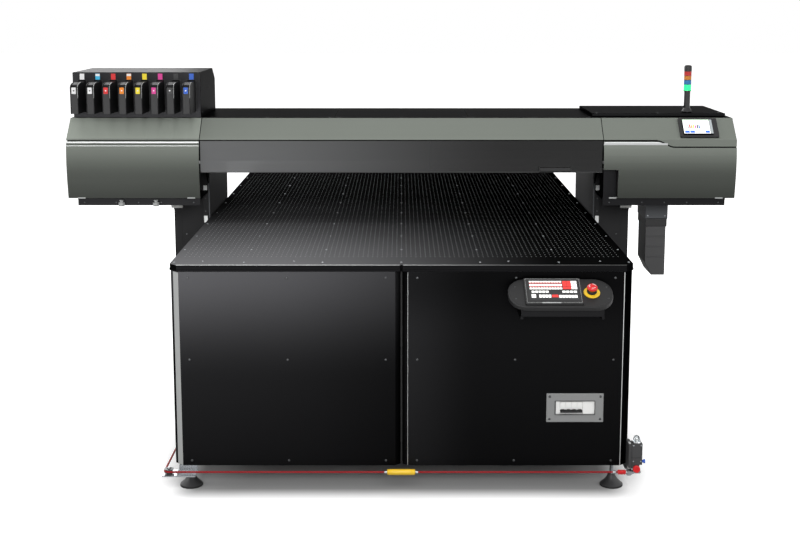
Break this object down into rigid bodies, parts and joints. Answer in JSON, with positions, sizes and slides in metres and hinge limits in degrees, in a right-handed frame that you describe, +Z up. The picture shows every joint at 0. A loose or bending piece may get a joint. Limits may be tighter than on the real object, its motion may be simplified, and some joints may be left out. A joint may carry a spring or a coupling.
{
  "type": "flatbed uv printer",
  "caption": "Flatbed UV printer: fixed vacuum table on levelling feet, travelling gantry with lifting beam, ink trays, touch panels and safety pull rope.",
  "frame": {"origin": "on the floor, under the middle of the machine's bounding box", "axes": "+X to the machine's right as its operator faces it, +Y from the front to the back, +Z up"},
  "size_m": [2.948, 3.3504, 1.604],
  "materials": {
    "black_sheet": "satin black powder coat",
    "grey_shell": "satin grey-green enamel",
    "table_plate": "black anodised",
    "steel": "zinc-plated and bright",
    "black_plastic": "fine matte",
    "smoked_acrylic": "smoked, polished",
    "red_plastic": "semi-gloss",
    "yellow_plastic": "semi-gloss",
    "blue_plastic": "semi-gloss",
    "white_plastic": "satin",
    "grey_plastic": "satin",
    "dark_grey_plastic": "satin",
    "clear_plastic": "clear moulded",
    "red_rope": "PVC-sheathed rope"
  },
  "bodies": {
    "table": {"table_top": "table_plate", "base_frame": "black_sheet", "front_panel_left": "black_sheet", "front_panel_right": "black_sheet", "side_panel_left": "black_sheet", "side_panel_right": "black_sheet", "rear_panel": "black_sheet", "side_rail_left": "steel", "side_rail_right": "steel", "foot_left_1": "steel", "foot_left_2": "steel", "foot_left_3": "steel", "foot_right_1": "steel", "foot_right_2": "steel", "foot_right_3": "steel", "vacuum_blower": "grey_plastic", "pull_rope": "red_rope", "rope_sleeve": "yellow_plastic", "rope_turnbuckle": "steel", "pulley_bracket": "steel", "switch_body": "dark_grey_plastic", "switch_lamp": "clear_plastic", "desk_tray": "black_plastic", "desk_bracket": "black_sheet", "desk_screen": "black_plastic", "stop_base": "yellow_plastic", "breaker_frame": "grey_plastic", "breaker_modules": "white_plastic"},
    "gantry": {"leg_left": "black_sheet", "leg_right": "black_sheet"},
    "beam": {"beam_box": "black_sheet", "top_cover": "black_sheet", "right_top_cover": "black_sheet", "centre_band": "grey_shell", "left_end_shell": "grey_shell", "right_end_shell": "grey_shell", "left_tray": "black_sheet", "right_tray": "black_sheet", "ink_box": "black_plastic", "touch_panel": "black_plastic", "stack_light": "black_plastic", "capping_station": "grey_plastic"},
    "carriage": {"carriage": "black_plastic"},
    "front_cover": {"front_cover": "smoked_acrylic"},
    "left_cover": {"left_lower_cover": "grey_shell"},
    "right_cover": {"right_lower_cover": "grey_shell"},
    "waste_bottle": {"waste_bottle": "dark_grey_plastic"},
    "stop_button": {"stop_button": "red_plastic"},
    "breaker_toggle": {"breaker_toggle": "black_plastic"},
    "switch_button": {"switch_button": "red_plastic"},
    "reset_knob": {"reset_knob": "blue_plastic"},
    "corner_pulley": {"corner_pulley": "steel"},
    "ink_tray_1": {"ink_tray_1": "black_plastic"},
    "ink_tray_2": {"ink_tray_2": "black_plastic"},
    "ink_tray_3": {"ink_tray_3": "black_plastic"},
    "ink_tray_4": {"ink_tray_4": "black_plastic"},
    "ink_tray_5": {"ink_tray_5": "black_plastic"},
    "ink_tray_6": {"ink_tray_6": "black_plastic"},
    "ink_tray_7": {"ink_tray_7": "black_plastic"},
    "ink_tray_8": {"ink_tray_8": "black_plastic"}
  },
  "joints": [
    {"name": "gantry_travel", "type": "slide", "parent": "table", "child": "gantry", "axis": [0, 1, 0], "range_m": [-0.95, 1.28]},
    {"name": "beam_lift", "type": "slide", "parent": "gantry", "child": "beam", "axis": [0, 0, 1], "range_m": [-0.2, 0]},
    {"name": "carriage_travel", "type": "slide", "parent": "beam", "child": "carriage", "axis": [1, 0, 0], "range_m": [-2.2, 0]},
    {"name": "front_cover_hinge", "type": "hinge", "parent": "beam", "child": "front_cover", "pos_m": [0, -0.65682, 1.284], "axis": [-1, 0, 0], "range_deg": [0, 70]},
    {"name": "left_cover_hinge", "type": "hinge", "parent": "beam", "child": "left_cover", "pos_m": [-1.18, -0.65682, 1.281], "axis": [-1, 0, 0], "range_deg": [0, 60]},
    {"name": "right_cover_hinge", "type": "hinge", "parent": "beam", "child": "right_cover", "pos_m": [1.18, -0.65682, 1.281], "axis": [-1, 0, 0], "range_deg": [0, 60]},
    {"name": "waste_bottle_slide", "type": "slide", "parent": "beam", "child": "waste_bottle", "axis": [0, -1, 0], "range_m": [0, 0.22]},
    {"name": "stop_press", "type": "slide", "parent": "table", "child": "stop_button", "axis": [0, 0.4772, -0.8788], "range_m": [0, 0.004]},
    {"name": "breaker_switch", "type": "hinge", "parent": "table", "child": "breaker_toggle", "pos_m": [0.65, -1.52082, 0.3415], "axis": [-1, 0, 0], "range_deg": [0, 40]},
    {"name": "switch_press", "type": "slide", "parent": "table", "child": "switch_button", "axis": [0, 1, 0], "range_m": [0, 0.003], "stiffness_N_per_m": 300},
    {"name": "reset_pull", "type": "slide", "parent": "table", "child": "reset_knob", "axis": [1, 0, 0], "range_m": [0, 0.005], "stiffness_N_per_m": 300},
    {"name": "corner_pulley_spin", "type": "hinge", "parent": "table", "child": "corner_pulley", "pos_m": [-0.8935, -1.55332, 0.108], "axis": [0, 0, 1], "continuous": true},
    {"name": "ink_tray_1_slide", "type": "slide", "parent": "beam", "child": "ink_tray_1", "axis": [0, -1, 0], "range_m": [0, 0.25]},
    {"name": "ink_tray_2_slide", "type": "slide", "parent": "beam", "child": "ink_tray_2", "axis": [0, -1, 0], "range_m": [0, 0.25]},
    {"name": "ink_tray_3_slide", "type": "slide", "parent": "beam", "child": "ink_tray_3", "axis": [0, -1, 0], "range_m": [0, 0.25]},
    {"name": "ink_tray_4_slide", "type": "slide", "parent": "beam", "child": "ink_tray_4", "axis": [0, -1, 0], "range_m": [0, 0.25]},
    {"name": "ink_tray_5_slide", "type": "slide", "parent": "beam", "child": "ink_tray_5", "axis": [0, -1, 0], "range_m": [0, 0.25]},
    {"name": "ink_tray_6_slide", "type": "slide", "parent": "beam", "child": "ink_tray_6", "axis": [0, -1, 0], "range_m": [0, 0.25]},
    {"name": "ink_tray_7_slide", "type": "slide", "parent": "beam", "child": "ink_tray_7", "axis": [0, -1, 0], "range_m": [0, 0.25]},
    {"name": "ink_tray_8_slide", "type": "slide", "parent": "beam", "child": "ink_tray_8", "axis": [0, -1, 0], "range_m": [0, 0.25]}
  ]
}
